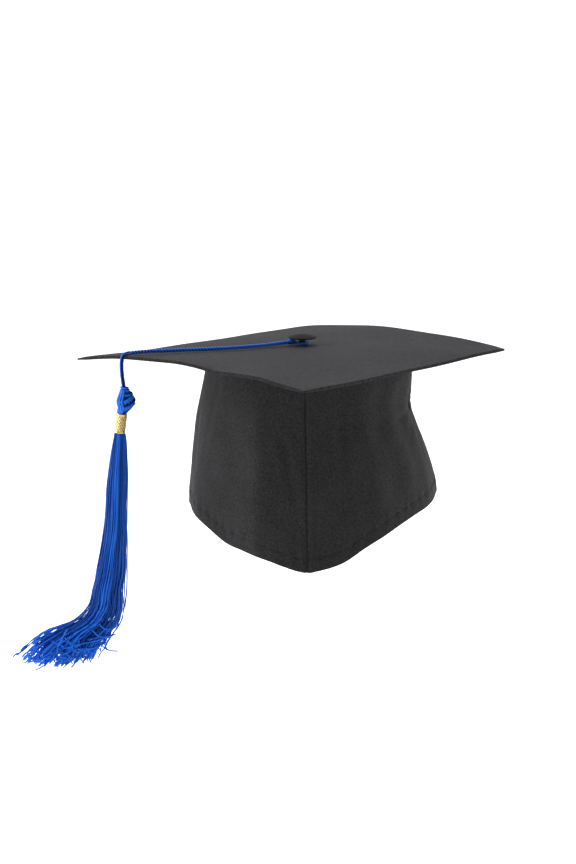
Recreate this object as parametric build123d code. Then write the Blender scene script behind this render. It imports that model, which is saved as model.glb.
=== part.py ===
from build123d import *
import os
from math import cos, pi, radians, sin, sqrt, tan

# Graduation cap (mortarboard) with a corded tassel.
# Millimetres, +Z up. The front point of the crown faces -Y. The button's axis is x = y = 0,
# and z = 0 is the head opening, at the height of the hem over the ears.

# ---- board ----
board_side = 241.0
board_centre_x = -8.3
board_corner_radius = 3.0
board_top_z = 122.0
core_thickness = 1.6
cover_thickness = 0.4
layer_gap = 0.05
rim_seam_depth = 0.7
leg_hole_radius = 1.9

# The stiff board is pulled into a shallow arch: heights at its middle face, in mm, against the
# distances from its centre as shares of half a side, one along each pair of edges.
arch_drop = 8.6
arch_lean = 2.1
corner_twist = 1.65
corner_twist_lean = 0.74
front_rise = 0.9
front_rise_lean = 0.67
side_tilt = 0.0067

# ---- button on top ----
button_diameter = 22.4
button_height = 3.5
button_gap = 5.5
button_cloth = 0.4
button_shell_wall = 0.5
button_rim_height = 0.9
neck_radius = 3.0
leg_width = 2.6
leg_thickness = 0.5
leg_reach = 11.0
washer_radius = 10.0
washer_thickness = 0.6
patch_radius = 20.0

# ---- crown (skull cap) ----
panel_thickness = 0.6
lining_thickness = 0.3
hem_thickness = 0.4
hem_height = 12.0
crown_top_thickness = 0.5
seam_x = -2.0
seam_gap = 0.1
depth_to_width = 0.86
# depth below the board's top, centre in x, half width
crown_sections = [
    (-10.0, 6.6, 80.0),
    (22.0, 4.6, 82.2),
    (50.0, 1.6, 84.7),
    (75.0, 4.2, 91.0),
    (100.0, 6.6, 96.6),
    (125.0, 8.1, 100.2),
    (175.0, 8.8, 102.0),
]
# the hem's line, in x and height
left_side_hem = (-92.0, -3.0)
front_hem_left = [(-79.0, -12.0), (-49.0, -26.5)]
front_point = (-3.0, -39.5)
front_hem_right = [(20.0, -35.5), (43.0, -22.7), (75.6, -6.3), (93.4, 0.5)]
right_side_hem = (108.0, 4.0)
back_hem = [(-50.0, -13.0), (8.0, -18.0), (65.0, -11.0)]
crown_top_half_width = 80.8
elastic_height = 6.0
elastic_thickness = 0.7
tape_width = 10.0

# ---- stitching ----
stitch_length = 3.0
stitch_thickness = 0.3
hem_stitch_pairs = 54
crown_stitch_pairs = 48

# ---- tassel ----
cord_angle = 15.7
rim_pivot = (-142.8, -40.2, 119.0)
board_cord_diameter = 3.3
strand_diameter = 1.9
strand_spacing = 2.3
eye_radius = 4.45
knot_top_z = 95.0
band_top = (0.2, 76.4)
band_bottom = (2.4, 61.4)
band_radius = 4.2
band_wall = 0.5
fringe_half_thickness = 8.0

# The cord's route over the board, from the eye round the button's neck to the rim.
board_cord_route = [
    (-5.8, -0.9, 124.6),
    (-12.5, -2.9, 124.8),
    (-22.0, -7.4, 124.1),
    (-34.0, -13.4, 123.9),
    (-48.0, -18.9, 123.8),
    (-62.5, -22.6, 123.7),
    (-78.0, -25.4, 123.5),
    (-93.5, -27.2, 123.6),
    (-108.5, -30.2, 123.5),
    (-122.0, -33.8, 123.9),
    (-133.8, -37.4, 124.0),
    (-143.0, -40.4, 124.4),
    (-142.8, -40.2, 119.0),
]
# One hanging strand's route in the tassel's plane: outward from the rim pivot, and height.
drop_strand_route = [(0.0, 118.9), (0.8, 111.0), (0.5, 103.0), (-1.2, 95.2)]

half_side = board_side / 2
board_thickness = core_thickness + 2 * (cover_thickness + layer_gap)
under_board = -board_thickness - layer_gap
under_crown_top = under_board - crown_top_thickness - layer_gap
outward = Vector(-cos(radians(cord_angle)), -sin(radians(cord_angle)), 0)
tassel_plane = Plane(
    origin=(rim_pivot[0], rim_pivot[1], 0), x_dir=outward, z_dir=(outward.Y, -outward.X, 0)
)


def arch_height(along, across):
    """Height of the arched board, along and across being shares of half a side."""
    x = board_centre_x + (along - across) * half_side / sqrt(2)
    height = -arch_drop * across**2 - arch_lean * across**3
    height -= (corner_twist + corner_twist_lean * across) * along * across
    height += front_rise * along**2 - front_rise_lean * along**3
    return height + side_tilt * x


def arched_face(offset):
    """The board's arched surface, moved up by offset and reaching a little past its edges."""
    reach = 1.08
    steps = 8
    rows = []
    for i in range(steps + 1):
        along = reach * (2 * i / steps - 1)
        row = []
        for j in range(steps + 1):
            across = reach * (2 * j / steps - 1)
            x = board_centre_x + (along - across) * half_side / sqrt(2)
            y = (along + across) * half_side / sqrt(2)
            row.append((x, y, board_top_z + offset + arch_height(along, across)))
        rows.append(row)
    return Face.make_surface_from_array_of_points(rows, tol=0.005)


def arched_slab(top, bottom):
    """A slab between two offsets of the arched surface."""
    return Solid.extrude(arched_face(bottom), Vector(0, 0, top - bottom))


def prism(outline):
    """A tall upright block over a flat outline."""
    return extrude(Plane((0, 0, -150)) * outline, 350)


def board_outline(inset):
    """A block over the board's square outline, turned so that a corner faces the front."""
    side = board_side - 2 * inset
    square = RectangleRounded(side, side, board_corner_radius)
    return prism(Pos(board_centre_x, 0) * Rot(0, 0, 45) * square)


def only_solid(shape):
    """The single solid of a shape."""
    solids = shape.solids()
    assert len(solids) == 1, len(solids)
    return solids[0]


def board_pieces():
    """The stiff core and the two cloth covers, which meet in a seam round the rim."""
    hole = Pos(0, 0, board_top_z) * Cylinder(leg_hole_radius, 30)
    core_space = board_outline(cover_thickness) & arched_slab(
        -cover_thickness, -board_thickness + cover_thickness
    )
    core = board_outline(cover_thickness + layer_gap) & arched_slab(
        -cover_thickness - layer_gap, -cover_thickness - layer_gap - core_thickness
    )
    top_cover = (board_outline(0) & arched_slab(0, -rim_seam_depth)) - core_space
    bottom_cover = (
        board_outline(0) & arched_slab(-rim_seam_depth - layer_gap, -board_thickness)
    ) - core_space
    return {
        "board_core": core - hole,
        "board_top_cover": top_cover - hole,
        "board_bottom_cover": bottom_cover - hole,
    }


def button_dome(inset):
    """The button's low dome, shrunk by inset on every side."""
    radius = button_diameter / 2 - inset
    bottom = board_top_z + button_gap + inset
    shoulder = board_top_z + button_gap + button_rim_height
    apex = board_top_z + button_gap + button_height - inset
    rise = apex - shoulder
    dome_radius = (radius**2 + rise**2) / (2 * rise)
    mid = (radius / 2, apex - dome_radius + sqrt(dome_radius**2 - (radius / 2) ** 2))
    outline = [
        Line((0, bottom), (radius - 0.8, bottom)),
        Line((radius - 0.8, bottom), (radius, shoulder)),
        ThreePointArc((radius, shoulder), mid, (0, apex)),
        Line((0, apex), (0, bottom)),
    ]
    return revolve(Plane.XZ * make_face(outline), Axis.Z)


def tube(outer, inner, low, high):
    """An upright tube about the button's axis."""
    height = high - low
    middle = Pos(0, 0, (low + high) / 2)
    return middle * (Cylinder(outer, height) - Cylinder(inner, height + 1))


def button_pieces():
    """The covered button, its neck, and the split legs clinched over a washer inside the cap."""
    under = board_top_z + button_gap
    cloth_hole = Pos(0, 0, under) * Cylinder(7.5, 2)
    shell_hole = Pos(0, 0, under) * Cylinder(9.0, 3)
    cover = button_dome(0) - button_dome(button_cloth) - cloth_hole
    shell_inset = button_cloth + layer_gap
    shell = button_dome(shell_inset) - button_dome(shell_inset + button_shell_wall) - shell_hole
    plate_top = under + 1.05
    washer_top = board_top_z + under_crown_top - 0.1
    washer_bottom = washer_top - washer_thickness
    leg_bottom = washer_bottom - layer_gap - leg_thickness
    head_top = plate_top + layer_gap + 0.5
    legs = Pos(0, 0, head_top - 0.25) * Cylinder(5.0, 0.5)
    for side in (-1, 1):
        x = side * (leg_thickness / 2 + layer_gap)
        height = head_top - leg_bottom
        legs += Pos(x, 0, head_top - height / 2) * Box(leg_thickness, leg_width, height)
        foot_x = side * (leg_reach / 2 + layer_gap)
        legs += Pos(foot_x, 0, leg_bottom + leg_thickness / 2) * Box(
            leg_reach, leg_width, leg_thickness
        )
    patch_high = board_top_z + under_crown_top - 0.45
    patch_low = leg_bottom - layer_gap
    patch_line = Polyline(
        (0, patch_low),
        (13, patch_low),
        (patch_radius, patch_high),
        (patch_radius, patch_high - 0.5),
        (13, patch_low - 0.5),
        (0, patch_low - 0.5),
        close=True,
    )
    return {
        "button_cover": cover,
        "button_shell": shell,
        "button_back_plate": tube(7.3, leg_hole_radius, under + layer_gap, plate_top),
        "button_neck": tube(neck_radius, leg_hole_radius, board_top_z + layer_gap, under),
        "button_legs": legs,
        "clinch_washer": tube(washer_radius, leg_hole_radius, washer_bottom, washer_top),
        "leg_cover_patch": revolve(Plane.XZ * make_face(patch_line), Axis.Z),
    }


def crown_body(inset):
    """The solid inside one skin of the crown: an oval loft, narrower under the board."""
    ovals = []
    for depth, centre, half_width in crown_sections:
        oval = Ellipse(half_width - inset, half_width * depth_to_width - inset)
        ovals.append(Plane((centre, 0, board_top_z - depth)) * oval)
    return loft(ovals)


def crown_skin(outer_inset, thickness):
    """A layer of cloth in the crown's wall, open at the top and bottom."""
    return crown_body(outer_inset) - crown_body(outer_inset + thickness)


def over_hem(raised):
    """The space over the hem, raised by a height: pointed in front and rounded behind."""
    left, right, top, depth = -130, 130, 200, 160
    front_left = Spline((left, 6), left_side_hem, *front_hem_left, front_point)
    front_right = Spline(front_point, *front_hem_right, right_side_hem, (right, 5))
    front_sides = Polyline((right, 5), (right, top), (left, top), (left, 6))
    back_line = Spline((left, 10), left_side_hem, *back_hem, right_side_hem, (right, 13))
    back_sides = Polyline((right, 13), (right, top), (left, top), (left, 10))
    front = make_face([front_left, front_right, front_sides])
    back = make_face([back_line, back_sides])
    front_block = extrude(Plane.XZ * front, depth)
    back_block = extrude(Plane.XZ * back, -depth)
    return Pos(0, 0, raised) * (front_block + back_block)


def side_block(side):
    """Everything to the left (-1) or right (1) of the seam plane."""
    return Pos(seam_x + side * (200 + seam_gap / 2), 0, 0) * Box(400, 500, 500)


def crown_pieces():
    """The crown's two panels, with their linings, hem facings, seam tapes, elastic and top."""
    below_top = Pos(0, 0, -layer_gap) * arched_slab(under_crown_top, -250)
    skin = crown_skin(0, panel_thickness) & below_top & over_hem(0)
    lining_inset = panel_thickness + layer_gap
    lining = crown_skin(lining_inset, lining_thickness) & below_top & over_hem(1)
    hem_inset = lining_inset + lining_thickness + layer_gap
    hem_band = over_hem(0.4) - over_hem(hem_height)
    hem = crown_skin(hem_inset, hem_thickness) & hem_band
    pieces = {}
    for name, side in (("left", -1), ("right", 1)):
        pieces[f"crown_{name}_panel"] = skin & side_block(side)
        pieces[f"crown_{name}_lining"] = lining & side_block(side)
        pieces[f"hem_{name}_facing"] = hem & side_block(side)
    tape_skin = crown_skin(hem_inset, lining_thickness) & below_top & over_hem(hem_height + 0.3)
    for name, y in (("front", -100), ("back", 100)):
        pieces[f"{name}_seam_tape"] = tape_skin & Pos(seam_x, y, 0) * Box(tape_width, 200, 400)
    elastic_inset = hem_inset + hem_thickness + layer_gap
    elastic_band = over_hem(2) - over_hem(2 + elastic_height)
    elastic = crown_skin(elastic_inset, elastic_thickness) & elastic_band
    pieces["back_elastic"] = elastic & Pos(seam_x, 140, 0) * Box(160, 200, 200)
    top_hole = Pos(0, 0, board_top_z) * Cylinder(leg_hole_radius, 30)
    top_shape = Ellipse(crown_top_half_width, crown_top_half_width * depth_to_width)
    top_oval = prism(Pos(crown_sections[0][1], 0) * top_shape)
    crown_top = arched_slab(under_board, under_board - crown_top_thickness) & top_oval
    pieces["crown_top"] = crown_top - top_hole
    return pieces


def stitches(ring, centre_x, pairs):
    """Separate stitches, left of a thin ring where narrow bars cross it."""
    found = []
    for i in range(pairs):
        bar = Pos(centre_x, 0, 0) * Rot(0, 0, 180 * (i + 0.5) / pairs) * Box(260, stitch_length, 600)
        found += (ring & bar).solids()
    return Compound(children=found)


def stitch_pieces():
    """The hem's row of stitches, and the row that holds the crown's top to the board."""
    hem_ring = crown_skin(-stitch_thickness - 0.05, stitch_thickness)
    hem_ring = hem_ring & (over_hem(hem_height - 2) - over_hem(hem_height - 2 + stitch_thickness))
    low = under_crown_top - stitch_thickness
    oval = Ellipse(76, 76 * depth_to_width) - Ellipse(75.6, 76 * depth_to_width - 0.4)
    top_ring = arched_slab(under_crown_top, low) & prism(Pos(crown_sections[0][1], 0) * oval)
    return {
        "hem_stitches": stitches(hem_ring, 7, hem_stitch_pairs),
        "crown_top_stitches": stitches(top_ring, crown_sections[0][1], crown_stitch_pairs),
    }


def cord_tube(route, diameter, name):
    """A tube of straight runs joined by arcs as large as the runs allow."""
    points = [Vector(*point) for point in route]
    radii = []
    for before, point, after in zip(points, points[1:], points[2:]):
        first = point - before
        second = after - point
        turn = radians(first.get_angle(second))
        radii.append(0.45 * min(first.length, second.length) / tan(turn / 2))
    path = FilletPolyline(*points, radius=radii)
    start = Plane(origin=points[0], z_dir=points[1] - points[0])
    solid = sweep(start * Circle(diameter / 2), path=path)
    expected = path.length * pi * diameter**2 / 4
    print(f"{name}: length {path.length:.1f} mm, least radius {min(radii):.1f} mm,"
          f" volume {solid.volume / expected:.4f} of section times length")
    return solid


def tassel_point(out, height):
    """A place in the tassel's plane."""
    return tassel_plane.from_local_coords((out, height, 0))


def tassel_oval(out, height, half_width, half_depth):
    """A level oval in the tassel's plane."""
    level = Plane(origin=tassel_point(out, height), x_dir=outward, z_dir=(0, 0, 1))
    return level * Ellipse(half_width, half_depth)


def cord_pieces():
    """The cord: an eye round the neck, a doubled stretch on the board, and two hanging strands."""
    eye = Pos(0, 0, board_top_z + 1.35) * Torus(eye_radius, strand_diameter / 2)
    strands = []
    for side in (-1, 1):
        route = []
        for out, height in drop_strand_route:
            route.append(tuple(tassel_point(out + side * strand_spacing / 2, height)))
        strands.append(only_solid(cord_tube(route, strand_diameter, "hanging strand")))
    return {
        "tassel_eye": eye,
        "tassel_board_cord": cord_tube(board_cord_route, board_cord_diameter, "board cord"),
        "tassel_hanging_cord": Compound(children=strands),
    }


def band_plane():
    """The plane across the band at its top, its normal running down along the tassel."""
    top = tassel_point(*band_top)
    return Plane(origin=top, z_dir=tassel_point(*band_bottom) - top)


def tassel_pieces():
    """The knot, the band over its thread binding, and the fringe in two parts."""
    knot = loft([
        tassel_oval(-1.2, knot_top_z, 2.6, 2.4),
        tassel_oval(-1.8, 90.0, 5.8, 5.2),
        tassel_oval(-1.6, 84.0, 6.6, 5.6),
        tassel_oval(-0.6, 79.5, 5.2, 4.8),
        tassel_oval(0.0, 77.6, 3.6, 3.6),
    ])
    length = (tassel_point(*band_bottom) - tassel_point(*band_top)).length
    place = band_plane()
    band = extrude(place * (Circle(band_radius) - Circle(band_radius - band_wall)), length)
    binding = extrude(place * Circle(band_radius - band_wall - layer_gap), length)
    fringe_upper = loft([
        tassel_oval(2.5, 60.2, 4.4, 4.2),
        tassel_oval(3.7, 37.0, 7.0, 5.4),
        tassel_oval(5.5, 8.0, 8.2, 6.2),
        tassel_oval(7.8, -20.0, 10.0, 7.2),
        tassel_oval(12.0, -56.0, 12.2, 8.0),
    ])
    outer_edge = Spline((24, -57), (29, -68), (37, -77.5), (52, -83), (70, -89.5), (84, -98), (92, -110))
    end_edge = Spline((92, -110), (62, -119), (32, -122), (12, -115))
    inner_edge = Spline((12, -115), (6, -98), (2, -80), (-0.2, -57))
    fan = make_face([outer_edge, end_edge, inner_edge, Line((-0.2, -57), (24, -57))])
    fringe_lower = extrude(tassel_plane * fan, fringe_half_thickness, both=True)
    return {
        "tassel_knot": knot,
        "tassel_band": band,
        "tassel_binding": binding,
        "fringe_upper": fringe_upper,
        "fringe_lower": fringe_lower,
    }


def main():
    """Writes one STEP file for each piece."""
    os.makedirs("parts", exist_ok=True)
    pieces = {}
    for group in (board_pieces, button_pieces, crown_pieces, stitch_pieces, cord_pieces, tassel_pieces):
        pieces.update(group())
    for name, shape in pieces.items():
        export_step(shape, f"parts/{name}.step")


main()
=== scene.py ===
import random
from math import cos, pi, radians, sin, sqrt, tau

import bpy
import numpy as np
from mathutils import Matrix, Vector


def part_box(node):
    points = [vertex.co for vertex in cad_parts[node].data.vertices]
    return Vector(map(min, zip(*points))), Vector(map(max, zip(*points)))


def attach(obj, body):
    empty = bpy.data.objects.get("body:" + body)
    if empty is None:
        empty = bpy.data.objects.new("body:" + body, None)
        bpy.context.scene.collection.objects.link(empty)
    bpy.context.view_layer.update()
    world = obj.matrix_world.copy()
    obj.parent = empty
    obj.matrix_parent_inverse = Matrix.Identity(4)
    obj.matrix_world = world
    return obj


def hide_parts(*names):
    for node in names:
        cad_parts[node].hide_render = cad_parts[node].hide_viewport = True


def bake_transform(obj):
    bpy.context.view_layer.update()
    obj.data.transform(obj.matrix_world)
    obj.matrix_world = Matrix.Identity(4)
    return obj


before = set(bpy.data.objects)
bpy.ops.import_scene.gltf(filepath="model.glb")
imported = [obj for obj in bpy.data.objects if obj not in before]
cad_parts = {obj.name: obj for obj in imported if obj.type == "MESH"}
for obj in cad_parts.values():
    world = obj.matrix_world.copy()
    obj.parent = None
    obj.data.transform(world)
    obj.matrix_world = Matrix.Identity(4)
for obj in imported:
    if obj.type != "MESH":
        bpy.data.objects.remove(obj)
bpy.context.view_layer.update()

# Graduation cap. Metres, in the frame of the CAD part: +Z up, the crown's front point faces -Y,
# the button's axis is x = y = 0, and z = 0 is the head opening.
mm = 0.001
upward = np.array((0.0, 0.0, 1.0))
dice = random.Random(848)

# ---- sizes: the CAD part's, but for a sharper corner and a hem line with more points ----
board_top = 122 * mm
half_side = 120.5 * mm
board_centre_x = -8.3 * mm
corner_radius = 1.8 * mm
board_thickness = 2.5 * mm
rim_seam_depth = 0.7 * mm
cover_thickness = 0.4 * mm
layer_gap = 0.05 * mm
seam_x = -2 * mm
depth_to_width = 0.86
# depth below the board's top, centre in x, half width, all in mm
crown_sections = [
    (-10.0, 6.6, 80.0), (22.0, 4.6, 82.2), (50.0, 1.6, 84.7), (75.0, 4.2, 91.0),
    (100.0, 6.6, 96.6), (125.0, 8.1, 100.2), (175.0, 8.8, 102.0),
]
# the hem's line in x and height, in mm: in front and behind
front_hem = [
    (-130, 4), (-92, -5.2), (-79, -13), (-64, -22.4), (-49, -26.2), (-34, -30.8), (-19, -36.4),
    (-7, -40.1), (-0.5, -40.8), (6, -39.6), (18, -36.9), (25, -34.6), (43, -23.9), (75.6, -7.6),
    (93.4, -1.2), (105, 2), (130, 5),
]
back_hem = [(-130, 10), (-92, -5.2), (-50, -13), (8, -18), (65, -11), (105, 2), (130, 13)]
crown_reach = 92 * mm  # from its middle, for lengths measured round it
hem_height = 12 * mm
stitch_row = 10 * mm
button_radius = 11.2 * mm
button_under = board_top + 5.5 * mm
eye_radius = 4.45 * mm

# ---- tassel ----
cord_angle = radians(15.7)
rim_pivot = (-0.1428, -0.0402, 0.1190)
outward = np.array((-cos(cord_angle), -sin(cord_angle), 0.0))
forward = np.array((sin(cord_angle), -cos(cord_angle), 0.0))
# the cord's route from the eye round the button's neck, over the board to the rim
board_cord_route = [
    (-0.0058, -0.0009, 0.1246), (-0.0125, -0.0029, 0.1248), (-0.0220, -0.0074, 0.1241),
    (-0.0340, -0.0134, 0.1239), (-0.0480, -0.0189, 0.1238), (-0.0625, -0.0226, 0.1237),
    (-0.0780, -0.0254, 0.1235), (-0.0935, -0.0272, 0.1236), (-0.1085, -0.0302, 0.1235),
    (-0.1220, -0.0338, 0.1239), (-0.1325, -0.0370, 0.1236), (-0.1395, -0.0391, 0.1231),
    (-0.1418, -0.0399, 0.1190),
]
# and down to the knot: outward from the rim pivot, and height
hanging_route = [(-0.0008, 0.1120), (-0.0013, 0.1040), (-0.0026, 0.0952)]


# ---- helpers: lines and meshes ----
def smooth_through(places, values, at):
    """A smooth curve through values given at increasing places, read at other places."""
    places = np.asarray(places, float)
    values = np.asarray(values, float)
    at = np.clip(at, places[0], places[-1])
    slopes = np.gradient(values, places)
    k = np.clip(np.searchsorted(places, at, side="right") - 1, 0, len(places) - 2)
    width = places[k + 1] - places[k]
    t = (at - places[k]) / width
    from_start = (1 + 2 * t) * (1 - t) ** 2 * values[k] + t * (1 - t) ** 2 * width * slopes[k]
    from_end = t * t * (3 - 2 * t) * values[k + 1] - t * t * (1 - t) * width * slopes[k + 1]
    return from_start + from_end


def eased(low, high, value):
    """0 below low, 1 above high, smooth between."""
    t = np.clip((value - low) / (high - low), 0, 1)
    return t * t * (3 - 2 * t)


def hump(value, centre, width):
    """A soft round hump, 1 at its centre."""
    return np.exp(-(((value - centre) / width) ** 2))


def angle_between(angle, other):
    """One angle less another, brought between minus and plus half a turn."""
    return np.angle(np.exp(1j * (angle - other)))


def smooth_line(route):
    """Points along the smooth curve that a route's points control."""
    curve = bpy.data.curves.new("route", "CURVE")
    curve.dimensions = "3D"
    curve.resolution_u = 24
    spline = curve.splines.new("NURBS")
    spline.points.add(len(route) - 1)
    for point, place in zip(spline.points, route):
        point.co = (*place, 1)
    spline.order_u = 3
    spline.use_endpoint_u = True
    carrier = bpy.data.objects.new("route", curve)
    mesh = bpy.data.meshes.new_from_object(carrier)
    line = np.array([vertex.co for vertex in mesh.vertices])
    bpy.data.meshes.remove(mesh)
    bpy.data.objects.remove(carrier)
    bpy.data.curves.remove(curve)
    return line


def distances(line):
    """How far along the line each of its points lies."""
    return np.concatenate([[0], np.cumsum(np.linalg.norm(np.diff(line, axis=0), axis=1))])


def evenly(line, step):
    """The same line with its points about one step apart."""
    reached = distances(line)
    count = max(4, int(round(reached[-1] / step)) + 1)
    wanted = np.linspace(0, reached[-1], count)
    return np.stack([np.interp(wanted, reached, line[:, k]) for k in range(3)], axis=1)


def unit(vectors):
    return vectors / np.maximum(np.linalg.norm(vectors, axis=-1, keepdims=True), 1e-12)


def swung(first, second, angle):
    """Directions at the given angles, turned from one direction towards another square to it."""
    angle = np.asarray(angle)[..., None]
    return first * np.cos(angle) + second * np.sin(angle)


def side_directions(line):
    """Two directions square to a line at each of its points, carried along it without twist."""
    tangents = unit(np.gradient(line, axis=0))
    side = np.empty_like(line)
    carried = upward + 1e-4
    for i, tangent in enumerate(tangents):
        carried = carried - tangent * float(carried @ tangent)
        carried = carried / sqrt(float(carried @ carried))
        side[i] = carried
    return side, np.cross(tangents, side)


def wound(line, offset, angle):
    """A line carried round another at an offset, at the given angles."""
    side, up = side_directions(line)
    offset = np.broadcast_to(offset, len(line))[:, None]
    return line + offset * swung(side, up, angle)


def grid_faces(rows, columns, wrap_rows=False, wrap_columns=False):
    """Four-sided faces between the points of a grid numbered row by row."""
    r = np.arange(rows if wrap_rows else rows - 1)[:, None]
    c = np.arange(columns if wrap_columns else columns - 1)[None, :]
    r2 = (r + 1) % rows
    c2 = (c + 1) % columns
    quads = np.stack([r * columns + c, r * columns + c2, r2 * columns + c2, r2 * columns + c], -1)
    return quads.reshape(-1, 4)


class Shape:
    """Points, faces and a weave coordinate gathered from several parts into one mesh."""

    def __init__(self):
        self.points = []
        self.weave = []
        self.faces = []
        self.count = 0

    def add(self, points, faces, weave):
        self.points.append(points.reshape(-1, 3))
        self.weave.append(np.broadcast_to(weave, points.shape).reshape(-1, 3))
        self.faces += (np.asarray(faces) + self.count).tolist()
        self.count += len(self.points[-1])

    def add_face(self, corners):
        self.faces.append(list(corners))

    def tube(
        self, line, radius, sides=8, closed=False, tint=0.0, flatten=1.0, turn=0.0, core=None, shade=2.0
    ):
        """A round or oval tube along a line, its ends rounded off unless it is closed.

        With a core, the line that it winds round, painted shade darkens its tone by shade on the side towards
        it, where neighbouring strands would hide it from the light."""
        count = len(line)
        side, up = side_directions(line)
        radius = np.broadcast_to(np.asarray(radius, float), count).copy()
        if not closed:
            radius[0] *= 0.75
            radius[-1] *= 0.75
        angles = np.arange(sides) * tau / sides
        wide = np.cos(angles)[None, :, None]
        deep = np.sin(angles)[None, :, None] * flatten
        turn = np.broadcast_to(turn, count)[:, None]
        first = side * np.cos(turn) + up * np.sin(turn)
        second = -side * np.sin(turn) + up * np.cos(turn)
        spokes = first[:, None, :] * wide + second[:, None, :] * deep
        points = line[:, None, :] + radius[:, None, None] * spokes
        weave = np.zeros(points.shape)
        weave[..., 0] = np.abs(np.sin((angles[None, :] + turn) / 2)) * 2 * radius[:, None]
        weave[..., 1] = distances(line)[:, None]
        weave[..., 2] = np.broadcast_to(tint, count)[:, None]
        # painted shade: the tone falls off towards the core line, between the strands
        if core is not None:
            out_by = np.linalg.norm(points - core[:, None, :], axis=-1)
            buried = (out_by.max(axis=1, keepdims=True) - out_by) / (2 * radius[:, None])
            weave[..., 2] -= shade * buried
        start = self.count
        self.add(points, grid_faces(count, sides, wrap_rows=closed, wrap_columns=True)[:, ::-1], weave)
        if not closed:
            self.add_face(start + np.arange(sides))
            self.add_face(start + (count - 1) * sides + np.arange(sides)[::-1])

    def piece(self, name, material, body, stands_for=(), slot=None, weld=False):
        """The Blender object of everything gathered, on its body, for its CAD nodes and material slot; the
        slot is not used.
        """
        mesh = bpy.data.meshes.new(name)
        mesh.from_pydata(np.concatenate(self.points).tolist(), [], self.faces)
        weave = mesh.attributes.new("weave", "FLOAT_VECTOR", "POINT")
        weave.data.foreach_set("vector", np.concatenate(self.weave).astype(np.float32).ravel())
        mesh.polygons.foreach_set("use_smooth", [True] * len(mesh.polygons))
        mesh.materials.append(material)
        obj = bpy.data.objects.new(name, mesh)
        bpy.context.scene.collection.objects.link(obj)
        if weld:
            modifier = obj.modifiers.new("weld", "WELD")
            modifier.merge_threshold = 0.000002
        if body:
            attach(obj, body)
        if stands_for:
            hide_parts(*stands_for)
        return obj


# ---- materials ----
def new_material(name, **values):
    """A material with one Principled shader, its sockets set to the given values."""
    material = bpy.data.materials.new(name)
    material.use_nodes = True
    shader = material.node_tree.nodes["Principled BSDF"]
    for key, value in values.items():
        shader.inputs[key.replace("_", " ")].default_value = value
    return material, shader


def node(owner, kind, **inputs):
    """A new node in a material or world, with some of its input sockets set or linked."""
    made = owner.node_tree.nodes.new(kind)
    for key, value in inputs.items():
        socket = made.inputs[int(key[1:])] if key[1:].isdigit() else made.inputs[key.replace("_", " ")]
        if isinstance(value, bpy.types.NodeSocket):
            owner.node_tree.links.new(value, socket)
        else:
            socket.default_value = value
    return made


def maths(material, operation, first, second=0.0):
    made = node(material, "ShaderNodeMath", i0=first, i1=second)
    made.operation = operation
    return made.outputs[0]


def spread(material, value, low, high):
    """A value from 0 to 1 mapped onto a range."""
    made = node(material, "ShaderNodeMapRange", Value=value, To_Min=low, To_Max=high)
    return made.outputs[0]


def mottling(material, scale, detail=3.0):
    """Soft random variation over the object, from 0 to 1."""
    place = node(material, "ShaderNodeTexCoord").outputs["Object"]
    made = node(material, "ShaderNodeTexNoise", Vector=place, Scale=scale, Detail=detail)
    return made.outputs["Fac"]


def weave_vector(material):
    attribute = node(material, "ShaderNodeAttribute")
    attribute.attribute_name = "weave"
    return attribute.outputs["Vector"]


def weave_parts(material):
    """The weave coordinate's three parts: across, along, and the tint of that thread, with any painted shade
    or painted highlight added to it.
    """
    return node(material, "ShaderNodeSeparateXYZ", Vector=weave_vector(material)).outputs


def bands(material, vector, direction, pitch, distortion=0.0):
    """Soft bands at a real pitch in metres, from 0 to 1."""
    made = node(material, "ShaderNodeTexWave", Vector=vector, Scale=tau / 20 / pitch, Distortion=distortion)
    made.bands_direction = direction
    return made.outputs["Fac"]


def link(owner, output, socket):
    owner.node_tree.links.new(output, socket)


def shaded(material, shader, fac, dark, light):
    """Base colour between a dark and a light tone."""
    mix = node(material, "ShaderNodeMix", Factor=fac)
    mix.data_type = "RGBA"
    mix.inputs[6].default_value = (*dark, 1)
    mix.inputs[7].default_value = (*light, 1)
    link(material, mix.outputs[2], shader.inputs["Base Color"])


def bumped(material, shader, height, strength, distance):
    bump = node(material, "ShaderNodeBump", Height=height, Strength=strength, Distance=distance)
    link(material, bump.outputs["Normal"], shader.inputs["Normal"])


def cloth_material(name, dark, light, pitch, sheen, roughness=0.86, strength=0.35, grain=750):
    """Plain-woven cloth: two crossing sets of threads, slightly mottled, with a soft sheen."""
    material, shader = new_material(
        name, Sheen_Weight=sheen, Sheen_Roughness=0.45, Specular_IOR_Level=0.08
    )
    shader.inputs["Sheen Tint"].default_value = (0.9, 0.9, 1.0, 1)
    vector = weave_vector(material)
    warp = bands(material, vector, "X", pitch, 0.6)
    weft = bands(material, vector, "Y", pitch * 1.12, 0.6)
    threads = maths(material, "MAXIMUM", warp, weft)
    slub = mottling(material, grain, 3)
    broad = mottling(material, 22, 2)
    tone = maths(material, "MULTIPLY", threads, 0.25)
    tone = maths(material, "ADD", tone, spread(material, slub, -0.35, 1.05))
    tone = maths(material, "ADD", tone, spread(material, broad, -0.15, 0.25))
    shaded(material, shader, tone, dark, light)
    link(material, spread(material, slub, roughness - 0.08, roughness + 0.1), shader.inputs["Roughness"])
    raised = maths(material, "ADD", threads, maths(material, "MULTIPLY", slub, 1.5))
    bumped(material, shader, raised, strength, 0.00025)
    return material


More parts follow.
